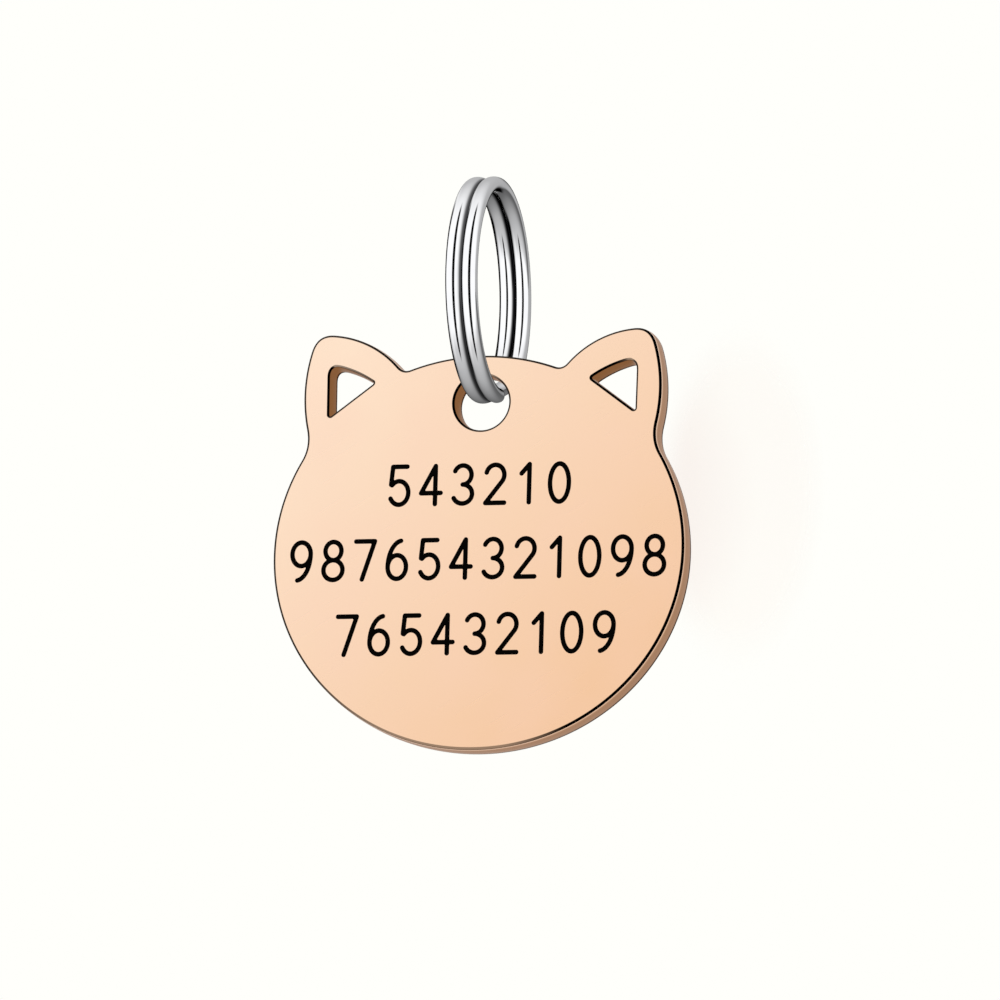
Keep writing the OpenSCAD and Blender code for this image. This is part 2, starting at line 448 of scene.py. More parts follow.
def chords(near, far):
    """Four corners of each face between two rows of points that run round the loops together."""
    after = rim_edges[:, 1]
    return np.c_[near, far, far[after], near[after]]


def volume(points, faces):
    """Volume inside closed faces, in cubic millimetres: a sixth of each corner fan's triple
    product. It is positive where the faces point outwards."""
    fans = np.array([(f[0], f[k], f[k + 1]) for f in faces for k in range(1, len(f) - 1)])
    a, b, c = points[fans[:, 0]], points[fans[:, 1]], points[fans[:, 2]]
    return float((a * np.cross(b, c)).sum() / 6)


wall_points, wall_normals, wall_faces = strips(WALL)
rounding_points, rounding_normals, rounding_faces = strips(ROUNDINGS)

# The plate's points are those of its front, the floors of the digits, its back and its walls
back_first = len(front_points) + mark_count
wall_first = back_first + rim_count
plate_points = np.concatenate([
    at_depth(front_points, 0), at_depth(mark_points, GROOVE), at_depth(back_rim, PLATE_T),
    wall_points,
])
plate_normals = np.concatenate([
    np.tile([0, -1, 0], (back_first, 1)), np.tile([0, 1, 0], (rim_count, 1)), wall_normals,
])
plate_faces = [
    *front_faces[metal].tolist(),
    *(front_faces[marked] + mark_count).tolist(),
    *(back_faces[back_metal][:, ::-1] + back_first).tolist(),
    *(wall_faces + wall_first).tolist(),
]
start, end = mark_edges.T + rim_count
groove_walls = np.c_[start, start + mark_count, end + mark_count, end]

# Chamfers below the roundings close the plate, and the roundings are closed against them
rim = np.arange(rim_count)
wall_front = wall_first + rim * (CROWN_STEPS + 1)
chamfers = np.concatenate([
    chords(rim, wall_front), chords(wall_front + CROWN_STEPS, back_first + rim)])
round_front = np.arange(2 * rim_count).reshape(2, -1) * (EDGE_STEPS + 1)
undersides = np.concatenate([chords(row, row + EDGE_STEPS)[:, ::-1] for row in round_front])

plate_flat = [*groove_walls.tolist(), *chamfers.tolist()]
rounding_faces, rounding_flat = rounding_faces.tolist(), undersides.tolist()
print(f"plate encloses {volume(plate_points, plate_faces + plate_flat):.1f} cubic mm",
      f"and its roundings {volume(rounding_points, rounding_faces + rounding_flat):.2f}")

# %% [markdown]
# ## From arrays to Blender objects
#
# Every piece is made by the same small function: points in millimetres become a mesh in metres,
# and the piece rides on the body it belongs to.
#
# The plate and its rounded edges bring their own normals. They come from the same formula as the
# points, so a reflection runs across an edge without the streaks that averaged normals leave
# beside long thin triangles.


# %% Make a piece
def new_mesh(name, points, faces, normals=None, flat_faces=()):
    """Object at the origin with smooth faces, and flat faces after them."""
    mesh = bpy.data.meshes.new(name)
    mesh.from_pydata((np.asarray(points) * MM).tolist(), [], [*faces, *flat_faces])
    mesh.polygons.foreach_set("use_smooth", [True] * len(mesh.polygons))
    if normals is not None:
        own = [normals[v] for face in faces for v in face]
        flat = [face.normal for face in mesh.polygons[len(faces):] for _ in face.vertices]
        mesh.normals_split_custom_set([tuple(n) for n in own + flat])
    piece = bpy.data.objects.new(name, mesh)
    bpy.context.scene.collection.objects.link(piece)
    return piece


def finish_piece(piece, body, node):
    """Hang a piece on its body, in place of a CAD node if one is named."""
    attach(piece, body)
    if node:
        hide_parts(node)
    print(piece.name, "has", len(piece.data.polygons), "faces and rides on", body)


plate = new_mesh("cat_head_plate", plate_points, plate_faces, plate_normals, plate_flat)
finish_piece(plate, "tag", "tag_plate")
rounding = new_mesh(
    "cat_head_rounded_edges", rounding_points, rounding_faces, rounding_normals, rounding_flat)
finish_piece(rounding, "tag", "tag_plate")

# %% [markdown]
# ## Dull cut walls and painted shade on the edges
#
# The walls were cut, and a polishing wheel hardly gets at them, so they stay duller and browner
# than the faces. Part of that brown is painted shade: the walls of the openings are painted
# darker still, and a dark line painted along the walls' back edge stands in for shade at the
# tag's outline.
#
# Such masks could be painted by hand. But the meshes were made in columns from front to back, so
# one number for each column gives a mask that follows every edge, as an attribute of the points.

# %% Write the wear and the painted shade into the points
OUTLINE_WALL_DARKNESS = 0.77


def ramp(value, start, end):
    """0 up to start, 1 from end on, and a smooth step in between: three squares less two
    cubes."""
    share = np.clip((value - start) / (end - start), 0, 1)
    return share ** 2 * (3 - 2 * share)


def write_share(piece, name, values):
    """Number at each point, which a material can read by its name."""
    piece.data.attributes.new(name, "FLOAT", "POINT").data.foreach_set("value", values)


def along_edge(profiles, spans):
    """A profile across the edge bands for each loop, at the points of the strips that hold some
    spans of its columns."""
    return np.concatenate([
        np.tile(profile[start:end], size)
        for start, end in spans for profile, size in zip(profiles, sizes)])


# Within a column or two the outline's wall turns dull and brown. The walls of the openings turn
# fully brown, which is painted shade, and at a wall's back comes the painted dark line. A
# rounding is dull and brown where it has nearly turned outward, and it has no dark line
on_faces = np.zeros(wall_first)
column = np.arange(len(edge_in)) - EDGE_STEPS
outline_wall = OUTLINE_WALL_DARKNESS * ramp(column, 0, 1.2)
opening_wall = np.ones(len(column))
wall_back = ramp(column, CROWN_STEPS - 2.2, CROWN_STEPS - 0.5)
toward_wall = ramp(edge_out_n, 0.8, 0.95)
write_share(plate, "dull_cut_and_shade", np.concatenate([
    on_faces, along_edge([outline_wall] + 3 * [opening_wall], WALL)]))
write_share(plate, "painted_dark_edge", np.concatenate([on_faces, along_edge(4 * [wall_back], WALL)]))
write_share(rounding, "dull_cut_and_shade", along_edge(4 * [toward_wall], ROUNDINGS))
write_share(rounding, "painted_dark_edge", np.zeros(len(rounding_points)))
print("points on the walls", len(wall_points), "and on the roundings", len(rounding_points))

# %% [markdown]
# ## The black in the marks
#
# The black fills each groove to a hair below the face. It is a piece of its own, because it has a
# finish of its own: dull and dark beside the polished metal. It uses the same outlines and the
# same triangles as the grooves that it lies in.

# %% Fill the marks
FILL_TOP = 0.008

fill_points = np.concatenate([at_depth(mark_points, FILL_TOP), at_depth(mark_points, GROOVE)])
fill_top = front_faces[marked] - rim_count
fill_faces = [*fill_top.tolist(), *(fill_top[:, ::-1] + mark_count).tolist()]
start, end = mark_edges.T
fill_walls = np.c_[start, end, end + mark_count, start + mark_count].tolist()
fill_normals = np.repeat([[0, -1, 0], [0, 1, 0]], mark_count, axis=0)
print(f"fill encloses {volume(fill_points, fill_faces + fill_walls):.3f} cubic mm")

marks = new_mesh("mark_fill", fill_points, fill_faces, fill_normals, fill_walls)
finish_piece(marks, "tag", None)

# %% [markdown]
# ## The split ring
#
# The ring is one length of wire, wound twice round and pressed shut. At one place it steps
# sideways from the first turn to the second, and the two cut ends stop on either side of that
# step. Seen close, the wire is nearly round, so each turn carries its own set of highlights. The
# flanks that face each other, in the slit between the turns, are painted dark as shade.
#
# The wire is a cross-section carried along a path. The path goes round by an angle, and its place
# along the ring's axis is a cosine that is level everywhere but in the step. The cross-section is
# a superellipse: a circle that is a little squarer, as wire is after it has been pressed.

# %% Wind the wire
# Places along the wire are counted in steps, 48 to a round, from the ring's lowest point
ROUND = 48
FIRST_END, LAST_END, STEP_START, STEP_END = 7, 1, 2, 6
WIRE_W, TURN_PITCH = 1.06, 1.09
SQUARENESS = 2.25
END_EDGE = 0.14
PLACES, FACETS = 520, 36
# Degrees from which an edge is sharp, and how much of the painted slit shade a flank keeps on
# its outer half
END_CREASE, OUTER_SHARE = 50, 0.8
MIDDLE_R = (RING_D - WIRE_T) / 2
MM_PER_STEP = 2 * np.pi * MIDDLE_R / ROUND

first, last = FIRST_END - ROUND, LAST_END + ROUND
near_end = np.array([0, 0.01, 0.03, 0.06, 0.1, END_EDGE]) / MM_PER_STEP
place = np.concatenate([
    first + near_end[:-1],
    np.linspace(first + near_end[-1], last - near_end[-1], PLACES),
    (last - near_end[:-1])[::-1],
])
share = np.clip((place - STEP_START) / (STEP_END - STEP_START), 0, 1)
along = -np.cos(np.pi * share) * TURN_PITCH / 2
angle = 2 * np.pi * place / ROUND
sine, cosine = np.sin(angle), np.cos(angle)

# The cut ends are rounded off: the section shrinks as a circle's edge does
from_end = np.minimum(place - first, last - place) * MM_PER_STEP
short_by = 1 - np.clip(from_end / END_EDGE, 0, 1)
size = 1 - END_EDGE * 2 * (1 - np.sqrt(1 - np.minimum(short_by, 0.999) ** 2))

# Superellipse: the sine and cosine keep their signs and are raised to 2 over the squareness
turn = np.linspace(0, 2 * np.pi, FACETS, endpoint=False)
across, beside = (
    np.sign(wave) * np.abs(wave) ** (2 / SQUARENESS) * width / 2
    for wave, width in ((np.cos(turn), WIRE_T), (np.sin(turn), WIRE_W)))

radius = MIDDLE_R + size[:, None] * across
wire = np.stack([
    along[:, None] + size[:, None] * beside, radius * sine[:, None], -radius * cosine[:, None],
], axis=-1)
middles = np.c_[along, MIDDLE_R * sine, -MIDDLE_R * cosine]
ring_points = np.concatenate([wire.reshape(-1, 3), middles[[0, -1]]])

tube_rows = len(wire) - 1
tube = grid_faces(len(wire), FACETS, close_columns=True)[:tube_rows * FACETS, ::-1]
rim = np.arange(FACETS)
start_cap = np.c_[rim, np.roll(rim, -1), np.full(FACETS, len(ring_points) - 2)]
end_cap = np.c_[np.roll(rim, -1), rim, np.full(FACETS, len(ring_points) - 1)]
end_cap[:, :2] += tube_rows * FACETS
wire_faces = [*tube.tolist(), *start_cap.tolist(), *end_cap.tolist()]
print(f"wire encloses {volume(ring_points, wire_faces):.1f} cubic mm and is",
      f"{np.ptp(ring_points[:, 0]):.2f} mm wide over both turns")

ring = new_mesh("split_ring_wire", ring_points, wire_faces)
ring.data.set_sharp_from_angle(angle=np.radians(END_CREASE))
finish_piece(ring, "ring", "split_ring")

# Painted shade: the flank that each turn has beside the other is painted dark, as shade in the
# slit between the turns, and a little less so on its outer half. Across the step, where the wire
# changes sides, the shade fades from one flank to the other
other_turn = -along[:, None] / (TURN_PITCH / 2)
flank = ramp(other_turn * beside / (WIRE_W / 2), 0.62, 0.92)
flank = flank * np.where(across > 0, OUTER_SHARE, 1)
write_share(ring, "slit_shade", np.concatenate([flank.ravel(), [0, 0]]))

# %% [markdown]
# ## Materials
#
# A material here starts from what the real one is and how its surface was made, and its colours
# are written as the hex values that a picture editor shows. Blender mixes light in linear
# values, so one function turns the first into the second. Another adds a node, with its
# settings, its values and its links in one call.


# %% Colours and nodes
def colour(code):
    """Linear colour from an sRGB hex value: each channel over 12.92 where it is dark, and else
    the power 2.4 of the channel plus 0.055 over 1.055."""
    srgb = np.array([int(code[k:k + 2], 16) / 255 for k in (1, 3, 5)])
    linear = np.where(srgb <= 0.04045, srgb / 12.92, ((srgb + 0.055) / 1.055) ** 2.4)
    return (*linear.tolist(), 1.0)


def add_node(tree, kind, inputs=(), out=0, **settings):
    """Output socket of a new shader node in a tree. Inputs are pairs of a socket's name or
    number and a value, or the output socket that is to be linked to it."""
    node = tree.nodes.new("ShaderNode" + kind)
    for name, value in settings.items():
        setattr(node, name, value)
    for name, value in dict(inputs).items():
        if isinstance(value, bpy.types.NodeSocket):
            tree.links.new(value, node.inputs[name])
        else:
            node.inputs[name].default_value = value
    return node.outputs[out]


def new_material(name):
    """Empty material with its node tree, and the socket that its shader goes to."""
    material = bpy.data.materials.new(name)
    material.use_nodes = True
    tree = material.node_tree
    tree.nodes.clear()
    return material, tree, tree.nodes.new("ShaderNodeOutputMaterial").inputs["Surface"]


# %% [markdown]
# ### Rose-gold coated steel
#
# The plate is stainless steel with a vapour-deposited coating, a few thousandths of a millimetre
# thick and the colour of rose gold. It comes out slightly yellower or pinker from place to place.
# Its colour is also painted paler towards the upper left and deeper towards the lower right, which
# is painted light. Under it are two finishes: the faces come from a polishing wheel, which leaves
# fine lines and slow waves, and the rounded edges were tumbled bright. So one function makes the
# coated metal, and takes another for the finish under it.
#
# Where the masks say so, the metal turns brown, and its grazing tint turns as well, since bare
# metal is always bright at a grazing angle, and dull metal isn't. The brown is partly dull cut
# metal and partly painted shade, darkest in the openings, and the near-black line along the
# walls' back edge is painted shade.
#
# The lines are noise stretched one way. A hundredth of a millimetre would be true to the wheel's
# grit but is far below a pixel, so they are drawn ten times as coarse and very faint.

# %% Rose-gold coating
# How far the painted light fades across the plate, then the size of its patches, the wheel's
# waves and the dents
FADE, PATCH, WAVE, DENT = 40 * MM, 6 * MM, 4 * MM, 0.6 * MM
LINE_W, LINE_LENGTH, LINE_TILT = 0.1 * MM, 6 * MM, 58


def coated_steel(name, finish):
    """Coated steel. The finish is a function that takes the tree and the coordinates, and gives
    the roughness and the surface's fine relief."""
    material, tree, surface = new_material(name)
    coordinates = add_node(tree, "TexCoord", out="Object")
    # Painted light: the coating is paler towards the upper left and deeper towards the lower right
    down_right = add_node(tree, "VectorMath", {
        0: coordinates, 1: (1 / FADE, 0, -1 / FADE),
    }, operation="DOT_PRODUCT", out="Value")
    shade = add_node(tree, "Mix", {
        0: add_node(tree, "MapRange", {"Value": down_right, "From Min": -0.13, "From Max": 0.87}),
        6: colour("#ffe4cb"), 7: colour("#f5c9a3"),
    }, data_type="RGBA", out=2)
    patches = add_node(tree, "TexNoise", {"Vector": coordinates, "Scale": 1 / PATCH})
    tone = add_node(tree, "Mix", {
        0: add_node(tree, "MapRange", {
            "Value": patches, "From Min": 0.35, "From Max": 0.65, "To Max": 0.22,
        }),
        6: shade, 7: colour("#fbd3bd"),
    }, data_type="RGBA", out=2)
    tint = colour("#ffffff")
    # Brown for dull cut walls and painted shade, darkest in the openings, and a near-black painted
    # shade line along the walls' back edge
    for mask, *worn_or_shaded in (("dull_cut_and_shade", "#8f6445", "#cebcae"), ("painted_dark_edge", "#2e1a0e", "#6a5a50")):
        share = add_node(tree, "Attribute", attribute_name=mask, out="Fac")
        tone, tint = (
            add_node(tree, "Mix", {0: share, 6: clean, 7: colour(code)}, data_type="RGBA", out=2)
            for clean, code in zip((tone, tint), worn_or_shaded))
    roughness, relief = finish(tree, coordinates)
    shader = add_node(tree, "BsdfPrincipled", {
        "Base Color": tone, "Metallic": 1.0, "Specular Tint": tint,
        "Roughness": roughness, "Normal": relief,
    })
    tree.links.new(shader, surface)
    print("material", name)
    return material


def wheel_lines(tree, coordinates):
    """Fine lines that all run one way, as noise stretched along them, over slow waves."""
    lines = add_node(tree, "TexNoise", {
        "Vector": add_node(tree, "Mapping", {
            "Vector": coordinates, "Rotation": (0, np.radians(LINE_TILT), 0),
            "Scale": (LINE_W, LINE_W, LINE_LENGTH),
        }, vector_type="TEXTURE"),
        "Scale": 1.0, "Detail": 3.0,
    })
    waves = add_node(tree, "TexNoise", {"Vector": coordinates, "Scale": 1 / WAVE, "Detail": 1.0})
    relief = add_node(tree, "Bump", {
        "Height": waves, "Strength": 0.3, "Distance": 0.00002,
        "Normal": add_node(tree, "Bump", {
            "Height": lines, "Strength": 0.08, "Distance": 0.000002,
        }),
    })
    roughness = add_node(tree, "MapRange", {
        "Value": lines, "From Min": 0.3, "From Max": 0.7, "To Min": 0.27, "To Max": 0.33,
    })
    return roughness, relief


def tumbled(tree, coordinates):
    """Bright and nearly smooth, with the shallow dents of a few tenths of a millimetre that
    tumbling leaves."""
    dents = add_node(tree, "TexNoise", {"Vector": coordinates, "Scale": 1 / DENT, "Detail": 1.0})
    relief = add_node(tree, "Bump", {"Height": dents, "Strength": 0.2, "Distance": 0.000006})
    roughness = add_node(tree, "MapRange", {
        "Value": dents, "From Min": 0.3, "From Max": 0.7, "To Min": 0.06, "To Max": 0.1,
    })
    return roughness, relief


plate.data.materials.append(coated_steel("rose_gold_coated_satin_steel", wheel_lines))
rounding.data.materials.append(coated_steel("rose_gold_coated_bright_edge", tumbled))

# %% [markdown]
# ### Laser black
#
# The laser turns the metal in a groove into dark oxide. It is dull, nearly black, and slightly
# grainy where one pulse lies beside the next. Noise of the pulses' size, 0.06 mm, gives it that.

# %% Black of the marks
PULSE = 0.06 * MM

black, tree, surface = new_material("laser_blackened_steel")
coordinates = add_node(tree, "TexCoord", out="Object")
grain = add_node(tree, "TexNoise", {"Vector": coordinates, "Scale": 1 / PULSE})
soot = add_node(tree, "Mix", {
    0: grain, 6: colour("#010101"), 7: colour("#060403"),
}, data_type="RGBA", out=2)
grain_bump = add_node(tree, "Bump", {"Height": grain, "Strength": 0.3, "Distance": 0.000005})
black_shader = add_node(tree, "BsdfPrincipled", {
    "Base Color": soot, "Roughness": 0.6, "Specular IOR Level": 0.01, "Normal": grain_bump,
})
tree.links.new(black_shader, surface)
marks.data.materials.append(black)
print("material", black.name)

# %% [markdown]
# ### Bright drawn wire
#
# The ring is stainless wire, drawn through a die and then polished. Drawing leaves faint lines
# that run along the wire. A line along the wire keeps its distance from the ring's axis and its
# place along that axis, so noise that reads only those two numbers follows every turn by itself.
# True drawing lines are finer, but 0.06 mm is the least that shows.
#
# Smudges of about a millimetre vary the roughness, and the flanks in the slit are painted dark,
# as shade between the turns.

# %% Ring steel
DRAWN_LINE, SMUDGE = 0.06 * MM, 1.2 * MM

steel, tree, surface = new_material("polished_drawn_stainless_wire")
coordinates = add_node(tree, "TexCoord", out="Object")
x, y, z = (add_node(tree, "SeparateXYZ", {0: coordinates}, out=k) for k in range(3))
from_axis = add_node(tree, "VectorMath", {
    0: add_node(tree, "CombineXYZ", {"Y": y, "Z": z}),
}, operation="LENGTH", out="Value")
drawn_lines = add_node(tree, "TexNoise", {
    "Vector": add_node(tree, "CombineXYZ", {"X": x, "Y": from_axis}),
    "Scale": 1 / DRAWN_LINE,
})
smudges = add_node(tree, "TexNoise", {"Vector": coordinates, "Scale": 1 / SMUDGE})
steel_tone = add_node(tree, "Mix", {
    0: smudges, 6: colour("#f1f1f2"), 7: colour("#e2e3e6"),
}, data_type="RGBA", out=2)
# Painted shade: the flanks in the slit between the turns turn dark grey, with a dim grazing tint
slit_shade = add_node(tree, "Attribute", attribute_name="slit_shade", out="Fac")
steel_tone, steel_tint = (
    add_node(tree, "Mix", {0: slit_shade, 6: clean, 7: colour(code)}, data_type="RGBA", out=2)
    for clean, code in ((steel_tone, "#26262a"), (colour("#ffffff"), "#6a6a6e")))
wire_bump = add_node(tree, "Bump", {
    "Height": drawn_lines, "Strength": 0.06, "Distance": 0.000002,
})
wire_shader = add_node(tree, "BsdfPrincipled", {
    "Base Color": steel_tone, "Metallic": 1.0, "Specular Tint": steel_tint, "Normal": wire_bump,
    "Roughness": add_node(tree, "MapRange", {
        "Value": smudges, "From Min": 0.3, "From Max": 0.7, "To Min": 0.045, "To Max": 0.085,
    }),
})
tree.links.new(wire_shader, surface)
ring.data.materials.append(steel)
print("material", steel.name)

# %% [markdown]
# ## The studio
#
# Polished metal in an all-white room looks white, with no edges at all. A photographer puts it
# in a tent of white cloth and hangs black and grey cards in there. They are never seen, but every
# line on the metal is one of them: the dark one down the plate's edges, and the thin black one
# along each turn of the wire.
#
# Here the tent is a dome round the object, painted by a formula that gives a brightness for every
# direction. The ring, the rounded edges and the plate ask for different cards in the same places,
# so there are three domes, one round the other, and light linking lets each shine on its own
# piece only. The inner two are clear: they add their glow to what lies behind them, and the domes
# behind are black to a piece that they don't shine on.

# %% Domes
DOME_STEPS = 240
RING_DOME_R, EDGE_DOME_R, PLATE_DOME_R = 60, 90, 120


def dome(name, middle, radius, paint, pieces, clear=False):
    """Dome round a middle, in millimetres, that glows on some pieces as paint says for every
    direction. Its points go round the X axis by one angle and towards it by another, in equal
    steps. A clear dome adds its glow to what lies behind it."""
    round_x = np.radians(np.linspace(-180, 180, DOME_STEPS + 1))[:, None]
    to_x = np.radians(np.linspace(-90, 90, DOME_STEPS // 2 + 1))[None]
    toward = np.stack(np.broadcast_arrays(
        np.sin(to_x), -np.cos(to_x) * np.cos(round_x), np.cos(to_x) * np.sin(round_x)), axis=-1)
    faces = grid_faces(*toward.shape[:2])[:DOME_STEPS * DOME_STEPS // 2]
    points = (middle + radius * toward).reshape(-1, 3)
    shell = new_mesh(name, points, faces.tolist())
    glow = paint(toward)
    write_share(shell, "glow", glow.astype(np.float32).ravel())
    print(f"{name} glows from {glow.min():.2f} to {glow.max():.2f}")
    material, tree, surface = new_material(name + "_cloth")
    light = add_node(tree, "Emission", {
        "Strength": add_node(tree, "Attribute", attribute_name="glow", out="Fac"),
    })
    if clear:
        light = add_node(tree, "AddShader", {0: light, 1: add_node(tree, "BsdfTransparent")})
    tree.links.new(light, surface)
    material.cycles.emission_sampling = "NONE"
    shell.data.materials.append(material)
    shell.visible_camera = shell.visible_shadow = shell.visible_diffuse = False
    lit = bpy.data.collections.new(name + "_lights")
    for piece in pieces:
        lit.objects.link(piece)
    shell.light_linking.receiver_collection = lit


# %% [markdown]
# ### Which card shows where
#
# Metal shows a card to the camera where its normal lies halfway between the directions to both.
# The same sum tells for each place on a dome which metal would show it: the side that this metal
# faces, and how far it is tilted. A card can then be painted for the metal that is to be dark.
# From elsewhere the cards show in other places, as when somebody walks round a real set.

# %% Seen from the camera
AZIMUTH, ELEVATION = 15.0, -9.8


def direction(azimuth, elevation):
    """Unit vector towards a place seen at an azimuth from the front and an elevation."""
    a, e = np.radians([azimuth, elevation])
    return np.array([np.sin(a) * np.cos(e), -np.cos(a) * np.cos(e), np.sin(e)])


TO_CAMERA = direction(AZIMUTH, ELEVATION)
print("towards the camera", np.round(TO_CAMERA, 3))


def mirror_normal(toward):
    """The normal of metal that mirrors each direction to the camera: halfway between the two.
    With it comes its cosine with the way to the camera, which is 1 where the metal faces the
    camera and 0 at the silhouette."""
    halfway = toward + TO_CAMERA
    length = np.maximum(np.linalg.norm(halfway, axis=-1), 1e-6)
    return halfway / length[..., None], length / 2


# %% [markdown]
# ### The ring's cards
#
# The ring is lit from above and in front. Going round it from straight ahead, the cloth stays
# white up to overhead and turns grey behind, and below it darkens to near black. A pointed blade
# of black card stands in front and draws the line along each turn. Narrow cards at the left and
# the right, for metal that is nearly edge-on to the camera, draw the outlines.

# %% The ring's dome
# Brightness of the cloth at some angles round X, in degrees from straight ahead over the top
CLOTH_AT = [-180, -160, -145, -130, -110, -90, -70, -50, 60, 85, 105, 125, 145, 170, 180]
CLOTH = [0.12, 0.16, 0.25, 0.34, 0.50, 0.62, 0.75, 1.2, 1.2, 1.05, 0.80, 0.58, 0.52, 0.48, 0.14]
FULL_GLOW = 1.2
BLADE_AT, BLADE_X, BLADE_REACH, BLADE_HALF_W = -1, 0.04, 86, 0.22
OUTLINE_LEFT, OUTLINE_RIGHT = 0.66, 0.2


def ring_room(toward):
    """Brightness by the angle round X, times what the black cards leave of it. Across, towards
    X, the cards are measured by the direction's part along X."""
    x = toward[..., 0]
    over = np.degrees(np.arctan2(toward[..., 2], -toward[..., 1]))
    normal, facing = mirror_normal(toward)

    # The cloth, which is whiter at the left
    cloth = np.interp(over, CLOTH_AT, CLOTH)
    cloth = cloth + (FULL_GLOW - cloth) * 0.8 * ramp(-x, 0.35, 0.7) * ramp(over, -110, -60)

    # The blade, whose width goes with the root of one less the square of the way to its point
    off_blade = over - BLADE_AT
    half = BLADE_HALF_W * np.sqrt(np.clip(1 - (off_blade / BLADE_REACH) ** 2, 0, 1))
    blade = ramp(half - np.abs(x - BLADE_X), -0.02, 0.05) * ramp(-np.abs(off_blade), -86, -70)

    # The outlines, for metal whose cosine with the way to the camera is less than a width
    width = np.where(normal[..., 0] < 0, OUTLINE_LEFT, OUTLINE_RIGHT)
    outline = ramp(-facing, -width - 0.08, -width + 0.04) * ramp(np.abs(normal[..., 0]), 0.3, 0.5)
    off_back = np.abs((over + 10) % 360 - 180)
    outline = outline * np.maximum(
        ramp(-off_back, -34, -16), ramp(-x, 0.55, 0.75) * ramp(-off_back, -85, -60))
    return cloth * (1 - blade) * (1 - outline)


dome("ring_dome", np.zeros(3), RING_DOME_R, ring_room, [ring], clear=True)

# %% [markdown]
# ### The cards for the rounded edges
#
# The rounded edges ask for black by the side that they face. To the right and below, the card is
# wide, because the tag has a heavy dark line there. To the left and above it only leaves a thin
# line at the very edge, and towards the lower left it is a dark grey.

# %% The dome for the rounded edges
def edge_room(toward):
    """White, but for a band of black. Where it begins and ends is the tilt of the mirroring
    metal from facing forward, and depends on the side that the metal faces: 0 is right, 90 up,
    180 left, -90 down. Its depth is the share of the light that it takes."""
    normal, _ = mirror_normal(toward)
    tilt = np.degrees(np.arccos(np.clip(-normal[..., 1], -1, 1)))
    side = np.degrees(np.arctan2(normal[..., 2], normal[..., 0]))
    begin = np.interp(
        side,
        [-180, -140, -112, -90, -68, -45, 0, 40, 60, 85, 110, 180],
        [13, 20, 20, 12, 18, 17, 16, 16, 18, 18, 16, 13],
    )
    end = np.interp(side, [-130, -112, 35, 50], [104, 90, 90, 104])
    depth = np.interp(
        side, [-140, -112, -80, -64, 50, 90, 130], [0.97, 0.66, 0.66, 1, 1, 0.95, 0.97])
    return 1 - depth * ramp(tilt, begin - 3, begin + 3) * ramp(-tilt, -end - 2, -end + 2)


dome("edge_dome", head_middle, EDGE_DOME_R, edge_room, [rounding], clear=True)

# %% [markdown]
# ### The plate's cloth
#
# The faces and walls are satin and mirror only white cloth, somewhat dimmer to the sides, so a
# face changes its tone as the tag turns.

# %% The plate's dome
SIDE_DIMMING = 0.3


def plate_room(toward):
    """Bright ahead and behind, dimmer in between, by the angle from straight ahead."""
    from_front = np.degrees(np.arccos(np.clip(-toward[..., 1], -1, 1)))
    return 1 - SIDE_DIMMING * ramp(from_front, 55, 95) * ramp(-from_front, -140, -105)


dome("plate_dome", head_middle, PLATE_DOME_R, plate_room, [plate, marks])

# The pieces are lit apart, so none shows up in another's mirror image
for piece in (plate, rounding, marks, ring):
    piece.visible_glossy = False

# %% [markdown]
# ### Floor and backdrop
#
# The floor lies below the camera, and a small sheet hangs behind the tag's right side to catch
# its faint shadow. The sheet mostly glows by itself, with just enough dull white in it for the
# shadow to show. It fades out in an ellipse towards its rim, and both are clear when seen from
# behind, so they never hide the object when somebody walks round it.

# %% Floor and backdrop
PAPER = "#fffffb"
GLOW_SHARE, FADE_START = 0.84, 0.6
# Two corners of each sheet, and the middle and reach of the ellipse, in millimetres
FLOOR = (-2000, -2000, -135), (2000, 2000, -135)
BACKDROP = (0, 36, -22), (18, 36, 8)
ELLIPSE = (8.8, 36, -7.6), (6.6, 1000, 13)


def paper(name, glow, strength, middle=None, reach=None):
    """Paper that glows for most of its share and is dull white for the rest, and that is clear
    from behind. With a middle and a reach along X, Y and Z, in millimetres, it also fades out
    towards that reach."""
    material, tree, surface = new_material(name)
    sheet = add_node(tree, "MixShader", {
        0: GLOW_SHARE,
        1: add_node(tree, "BsdfDiffuse", {"Color": colour(PAPER)}),
        2: add_node(tree, "Emission", {"Color": colour(glow), "Strength": strength}),
    })
    hidden = add_node(tree, "NewGeometry", out="Backfacing")
    if reach:
        away = add_node(tree, "VectorMath", {
            0: add_node(tree, "Mapping", {
                "Vector": add_node(tree, "TexCoord", out="Object"),
                "Location": np.multiply(middle, MM), "Scale": np.multiply(reach, MM),
            }, vector_type="TEXTURE"),
        }, operation="LENGTH", out="Value")
        rim = add_node(tree, "MapRange", {
            "Value": away, "From Min": FADE_START,
        }, interpolation_type="SMOOTHSTEP")
        hidden = add_node(tree, "Math", {0: hidden, 1: rim}, operation="MAXIMUM")
    clear = add_node(tree, "MixShader", {
        0: hidden, 1: sheet, 2: add_node(tree, "BsdfTransparent"),
    })
    tree.links.new(clear, surface)
    return material


def flat_sheet(name, low, high, material):
    """Stage piece of one face between two opposite corners. The sides that start at them run
    along X."""
    sheet = new_mesh(name, [low, (high[0], *low[1:]), high, (low[0], *high[1:])], [[0, 1, 2, 3]])
    sheet.data.materials.append(material)
    sheet.visible_glossy = False
    print(name, "runs from", low, "to", high)


flat_sheet("floor", *FLOOR, paper("matt_white_floor", PAPER, 1.09))
flat_sheet("backdrop", *BACKDROP, paper("matt_white_backdrop", "#fef7f2", 1.01, *ELLIPSE))

# %% [markdown]
# ### Light
#
# The world is white where the camera or a polished surface looks at it, and half as bright as a
# source of light, because the domes already light the metal. One soft lamp near the camera
# throws the shadow onto the sheet. It is tinted, so that the shadow comes out warm.

